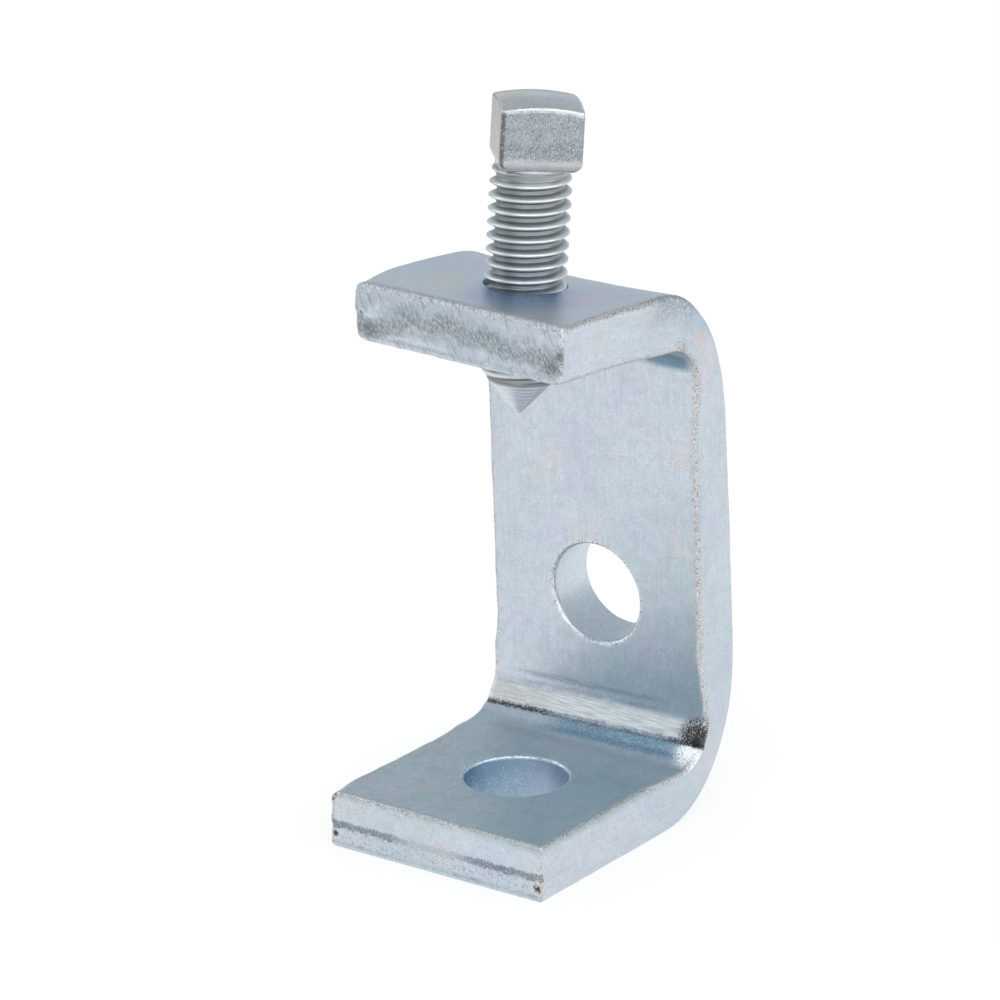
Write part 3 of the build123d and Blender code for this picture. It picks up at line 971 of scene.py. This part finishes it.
def lay_rust(n, up, edge):
    """Rust above the crease and a painted highlight below it, at one side. Returns where both are.
    """
    bend_place = n.combine(n.across, up)
    above = n.times(n.inside, n.ramp(up, -0.5, 0.0))
    near_rust = n.times(above, n.near(bend_place, (17.6, 1.3), 0.6, 3.6))
    n.lay((0.25, 0.26, 0.26), near_rust, 0.3)
    brown = n.times(n.near(bend_place, (18.6, 2.1), 0.4, 0.8), n.ramp(n.fine, 0.40, 0.50))
    n.lay((0.20, 0.11, 0.08), n.inside, brown, 0.8)
    specks = n.ramp(n.sum(n.grain, n.times(near_rust, 0.17)), 0.58, 0.64)
    specks = n.math("MINIMUM", n.times(near_rust, specks, 3), 1.0)
    rust = n.most(specks, n.times(above, n.near(bend_place, (18.2, 0.4), 0.6, 0.8)))
    n.lay((0.035, 0.03, 0.03), rust, 0.95)
    # Painted highlight: white, less metallic specks below the crease standing for a shiny spot.
    below = n.times(n.inside, n.ramp(up, -0.2, -0.7))
    near_shine = n.times(below, n.near(bend_place, (18.6, -1.4), 0.2, 5.2))
    painted_shine = n.ramp(n.less(n.times(near_shine, 0.2), n.grain), -0.44, -0.37)
    painted_shine = n.times(painted_shine, n.ramp(near_shine, 0.0, 0.6), n.less(1.0, n.times(edge, 0.6)))
    n.lay(WHITE, painted_shine)
    return rust, painted_shine


def lay_upper_bend(n):
    """The upper bend: a painted shadow under the jaw, and brown specks at its side."""
    squeeze = 0.3
    # Painted shadow: a dark teal wedge on the inner face just below the jaw.
    wedge = n.combine(n.times(n.across, squeeze), n.sum(n.along, n.times(n.coarse, 1.2)))
    shadow_under_jaw = n.times(n.inside, n.near(wedge, (14.2 * squeeze, 112.3), 1.2, 2.0))
    n.lay((0.10, 0.21, 0.30), shadow_under_jaw, n.ramp(n.across, 18.6, 16.8), 0.8)
    specks = n.near(n.combine(n.along, n.depth), (118.5, 0.9), 0.5, 2.2)
    n.lay((0.24, 0.18, 0.14), n.side_face, specks, n.ramp(n.fine, 0.50, 0.58), 0.8)


def lay_rims(n):
    """The worn rims of the punched holes on the inner face."""
    place = n.combine(n.across, n.along)
    rim = n.most(
        n.near(place, (0, BASE_HOLE_PLACE), BASE_HOLE_RADIUS + 0.5, 0.3),
        n.near(place, (0, BACK_HOLE_PLACE), BACK_HOLE_RADIUS + 0.5, 0.3),
    )
    n.lay((0.92, 0.93, 0.95), rim, n.inside, n.ramp(n.fine, 0.55, 0.42), 0.5)
    n.lay((0.14, 0.12, 0.10), rim, n.inside, n.ramp(n.fine, 0.58, 0.64), 0.9)


def bar_zinc():
    """The bar's plating with the marks that shearing and bending left at their places, and painted
    shade and highlights.
    """
    material, n = new_material("bar_zinc", BarNodes)
    lay_tints(n)
    edge, pits = lay_worn_edges(n)
    lay_bend_side(n)
    base_torn_and_shade, spots = lay_base_end(n)
    jaw_torn, teeth, scratches, marks = lay_jaw_end(n)
    up = above_crease(n)
    scuff, crease = lay_lower_bend(n, up)
    rust, painted_shine = lay_rust(n, up, edge)
    lay_upper_bend(n)
    lay_rims(n)
    worn = n.most(base_torn_and_shade, jaw_torn, crease, rust, n.times(edge, 0.8), n.times(scuff, 0.7))
    roughness = n.sum(n.times(n.grain, 0.16), 0.26, n.times(worn, 0.25))
    sunk = n.sum(n.times(n.most(pits, crease, rust, spots, marks), 0.8), n.times(scratches, 0.5))
    raised = n.sum(n.times(base_torn_and_shade, n.fine, 1.2), n.times(jaw_torn, teeth, 2.2))
    height = n.less(n.sum(n.height, raised), sunk)
    surface(n, roughness, height, n.less(1.0, n.times(painted_shine, 0.55)))
    return material


def bore_zinc():
    """The walls of the holes: crystalline with painted glints, and bluer in the base than in the
    back.
    """
    material, n = new_material("bore_zinc")
    place = n.place()
    x, _, z = n.split(place)
    height, grain = plated(n, place, BORE_TINTS)
    in_back = n.ramp(z, 12, 16)
    pale = n.mix(0.6, n.colour, (0.80, 0.85, 0.88))
    n.lay(n.mix(n.ramp(x, -8, 5), (0.25, 0.44, 0.56), (0.64, 0.68, 0.86)), 0.65)
    n.lay(pale, in_back)
    crystals = n.add("ShaderNodeTexVoronoi", {"Vector": place, "Scale": 5.5})
    facet = n.split(crystals.outputs["Color"])[0]
    n.lay((0.24, 0.37, 0.52), n.ramp(facet, 0.6, 1.0), 0.3)
    # Painted glints on the crystal facets, on the left of the hole and mostly in the base.
    facet_glints = n.times(n.ramp(facet, 0.16, 0.0), n.less(1.0, n.times(in_back, 0.7)))
    n.lay((0.80, 0.88, 0.93), facet_glints, n.ramp(x, 4, -5), 0.55)
    surface(n, n.sum(0.28, n.times(grain, 0.16)), n.sum(height, n.times(facet, 0.4)))
    return material


def lay_shank(n, place, squares):
    """Thread paled as painted light, painted shade in its roots, the cone. Returns shank and fine
    rings.
    """
    z = n.split(place)[2]
    on_shank = n.ramp(z, 0.2, -0.2)
    cone = n.ramp(z, CONE_TOP + 0.4, CONE_TOP - 0.2)
    thread = n.times(on_shank, n.less(1.0, cone))
    # Painted light: the thread paled to make up for light the lamps don't give it.
    n.lay((0.88, 0.91, 0.92), thread, 0.8)
    radius = n.math("SQRT", squares)
    # Painted shade: the thread's roots darkened.
    root = n.ramp(radius, SCREW_RADIUS - 0.1, THREAD_ROOT_RADIUS + 0.1)
    n.lay((0.15, 0.16, 0.16), thread, root, 0.8)
    n.lay((0.76, 0.82, 0.88), cone, 0.7)
    rings = n.noise(n.scaled(place, (0.05, 0.05, 6.0)), 2.4, 3)
    n.lay((0.34, 0.37, 0.40), on_shank, n.ramp(rings, 0.45, 0.62), 0.4)
    return on_shank, rings


def forged_scale(n, place, fine):
    """The colour of the rough faces, with glints in a band and a paler foot, and its noise."""
    z = n.split(place)[2]
    scale = n.noise(n.scaled(place, (1.3, 1.3, 0.7)), 4.6, 4, 0.85)
    broad = n.less(n.noise(n.scaled(place, (1.0, 1.0, 1.6)), 0.5, 3, 0.6), 0.5)
    rough_band = n.band(n.sum(z, n.times(fine, 1.5)), 3.9, 0.9, 0.9)
    shade = n.sum(scale, n.times(broad, 0.16), n.times(rough_band, 0.03))
    forged = n.mix(n.ramp(shade, 0.40, 0.60), (0.46, 0.50, 0.53), (0.16, 0.19, 0.21))
    glints = n.times(n.ramp(fine, 0.40, 0.34), n.sum(0.25, n.times(rough_band, 0.5)))
    forged = n.mix(glints, forged, (0.85, 0.88, 0.90))
    pale_foot = n.ramp(n.sum(z, n.times(fine, 2)), 3.6, 2.4, 0, 0.6)
    return n.mix(pale_foot, forged, (0.66, 0.66, 0.67)), scale


def lay_head(n, place, squares, fine):
    """The head's smooth faces, its two rough ones, a painted highlight on its rim. Returns the
    rough ones' relief.
    """
    x, y, z = n.split(place)
    on_head = n.ramp(z, 0.3, 0.7)
    crown = n.sum(z, n.times(squares, 0.5 / HEAD_CROWN_RADIUS))
    top = n.ramp(crown, HEAD_HEIGHT - 0.7, HEAD_HEIGHT - 0.35)
    out_x, out_y = math.cos(HEAD_TURN - math.pi / 2), math.sin(HEAD_TURN - math.pi / 2)
    out = n.size(n.sum(n.times(x, out_x), n.times(y, out_y)))
    sideways = n.less(n.times(y, out_x), n.times(x, out_y))
    rough_face = n.times(on_head, n.ramp(out, 5.65, 5.85), n.less(1.0, top))
    smooth_face = n.times(on_head, n.less(1.0, n.most(rough_face, top)))
    n.lay((0.60, 0.56, 0.56), smooth_face, 0.7)
    forged, scale = forged_scale(n, place, fine)
    n.lay(forged, rough_face, 0.9)
    # Painted highlight: a pale line along the edge of the crowned top.
    rim = n.times(on_head, n.band(crown, HEAD_HEIGHT - 0.72, 0.05, 0.14))
    n.lay((0.90, 0.89, 0.88), rim, n.ramp(fine, 0.40, 0.52), 0.6)
    corner = n.times(rough_face, n.band(sideways, -5.3, 0.12, 0.3), n.ramp(fine, 0.32, 0.48))
    n.lay((0.13, 0.12, 0.11), corner, 0.8)
    return rough_face, n.sum(fine, scale)


def screw_zinc():
    """The screw's plating: grey thread, ringed cone, and a head forged rough on two faces."""
    material, n = new_material("screw_zinc")
    place = n.attribute("turned")
    x, y, _ = n.split(place)
    squares = n.sum(n.times(x, x), n.times(y, y))
    fine = n.noise(place, 3.0, 3, 0.7)
    height, grain = plated(n, place, SCREW_TINTS)
    on_shank, rings = lay_shank(n, place, squares)
    rough_face, scale = lay_head(n, place, squares, fine)
    roughness = n.sum(n.times(grain, 0.12), 0.2, n.times(on_shank, 0.10), n.times(rough_face, 0.2))
    raised = n.sum(n.times(on_shank, rings, 0.8), n.times(rough_face, scale, 1.4))
    surface(n, roughness, n.sum(n.times(height, 0.7), raised))
    return material


def add_piece(name, mesh, body, node):
    piece = new_object(name, mesh)
    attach(piece, body)
    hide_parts(node)


add_piece("clamp_body_plated", clamp_mesh(), "clamp", "clamp_body")
add_piece("set_screw_threaded", screw_mesh(), "screw", "set_screw")


# The studio: a white floor, a dome that is grey in reflections alone, and three soft lamps.
FLOOR_SIZE = 20
FLOOR_WHITE = 0.72
FLOOR_SEEN_WHITE = 0.8
FLOOR_DIM = (0.11, 0.105, 0.105)
FLOOR_DIM_START = -190
FLOOR_DIM_END = -480
DOME_RADIUS = 8
DOME_LOW = (0.95, 0.97, 1.0)
DOME_HIGH = (0.495, 0.555, 0.585)
PAPER = (0.9, 0.9, 0.9, 1)
SKY = (0.62, 0.65, 0.7)
LAMP_TARGET = Vector((0, 0, 0.05))
# Each lamp's name, place, size and watts.
LAMPS = (
    ("front_box", (0.65, -1.1, 0.85), (1.8, 1.5), 9),
    ("side_box", (1.1, 0.1, 0.6), (1.1, 1.1), 4),
    ("left_box", (-1.2, -0.4, 0.6), (1.0, 1.0), 3),
)
CAMERA_LENS = 265.02
CAMERA_SENSOR = 36.0
CAMERA_PLACE = (0.603185, -0.827274, 0.435044)
CAMERA_RIGHT = Vector((0.80954, 0.58694, -0.012195))
CAMERA_UP = Vector((-0.195891, 0.289649, 0.936872))


def background_rays(n):
    """1 for the rays of camera, mirror and glass, which show the background."""
    path = n.add("ShaderNodeLightPath").outputs
    return n.most(path["Is Camera Ray"], path["Is Glossy Ray"], path["Is Transmission Ray"])


def make_floor():
    bpy.ops.mesh.primitive_plane_add(size=FLOOR_SIZE)
    floor = bpy.context.object
    floor.name = "floor"
    material, n = new_material("floor_white")
    paper = n.add("ShaderNodeBsdfDiffuse", {"Color": PAPER})
    far_left = n.ramp(n.split(n.place())[0], FLOOR_DIM_START, FLOOR_DIM_END)
    seen = n.add("ShaderNodeLightPath").outputs["Is Camera Ray"]
    dimmed = n.mix(n.times(far_left, n.less(1.0, seen)), WHITE, FLOOR_DIM)
    white = n.add("ShaderNodeEmission", {"Color": dimmed, "Strength": 1.0})
    clear = n.add("ShaderNodeBsdfTransparent")
    white_share = n.sum(FLOOR_WHITE, n.times(seen, FLOOR_SEEN_WHITE - FLOOR_WHITE))
    share = n.times(background_rays(n), white_share)
    lit = n.add("ShaderNodeMixShader", {0: share, 1: paper.outputs[0], 2: white.outputs[0]})
    below = n.add("ShaderNodeNewGeometry").outputs["Backfacing"]
    both = n.add("ShaderNodeMixShader", {0: below, 1: lit.outputs[0], 2: clear.outputs[0]})
    n.add("ShaderNodeOutputMaterial", {"Surface": both.outputs[0]})
    floor.data.materials.append(material)


def make_dome():
    """A hemisphere that is white to the camera, and to reflections grey above a pale horizon."""
    mesh = bpy.data.meshes.new("dome")
    sphere = bmesh.new()
    bmesh.ops.create_uvsphere(sphere, u_segments=64, v_segments=32, radius=DOME_RADIUS)
    sphere.to_mesh(mesh)
    sphere.free()
    dome = new_object("dome", mesh)
    material, n = new_material("dome_grey")
    up = n.split(n.add("ShaderNodeTexCoord").outputs["Object"])[2]
    rise = n.math("DIVIDE", up, float(DOME_RADIUS))
    grey = n.mix(n.ramp(rise, 0.02, 0.22), DOME_LOW, DOME_HIGH)
    path = n.add("ShaderNodeLightPath").outputs
    seen = n.most(path["Is Camera Ray"], path["Is Diffuse Ray"])
    colour = n.mix(seen, grey, WHITE)
    light = n.add("ShaderNodeEmission", {"Color": colour, "Strength": 1.0})
    n.add("ShaderNodeOutputMaterial", {"Surface": light.outputs[0]})
    mesh.materials.append(material)


def make_world():
    world = bpy.data.worlds.new("studio")
    bpy.context.scene.world = world
    world.use_nodes = True
    n = Nodes(world.node_tree)
    level = n.mix(background_rays(n), SKY, WHITE)
    background = n.add("ShaderNodeBackground", {"Color": level, "Strength": 1.0})
    n.add("ShaderNodeOutputWorld", {"Surface": background.outputs[0]})


def make_lamp(name, place, size, watts):
    light = bpy.data.lights.new(name, "AREA")
    light.shape = "RECTANGLE"
    light.size, light.size_y = size
    light.energy = watts
    lamp = new_object(name, light)
    lamp.location = place
    lamp.rotation_mode = "QUATERNION"
    lamp.rotation_quaternion = (LAMP_TARGET - Vector(place)).to_track_quat("-Z", "Y")
    lamp.visible_camera = False


def make_camera():
    """The camera that was fitted to the photograph."""
    data = bpy.data.cameras.new("camera")
    data.lens = CAMERA_LENS
    data.sensor_width = CAMERA_SENSOR
    data.clip_start = 0.05
    data.clip_end = 50
    camera = new_object("camera", data)
    turn = Matrix((CAMERA_RIGHT, CAMERA_UP, CAMERA_RIGHT.cross(CAMERA_UP))).transposed()
    camera.matrix_world = Matrix.Translation(CAMERA_PLACE) @ turn.to_4x4()
    bpy.context.scene.camera = camera


make_floor()
make_dome()
make_world()
for lamp_values in LAMPS:
    make_lamp(*lamp_values)
make_camera()
bpy.context.scene.view_settings.view_transform = "Standard"
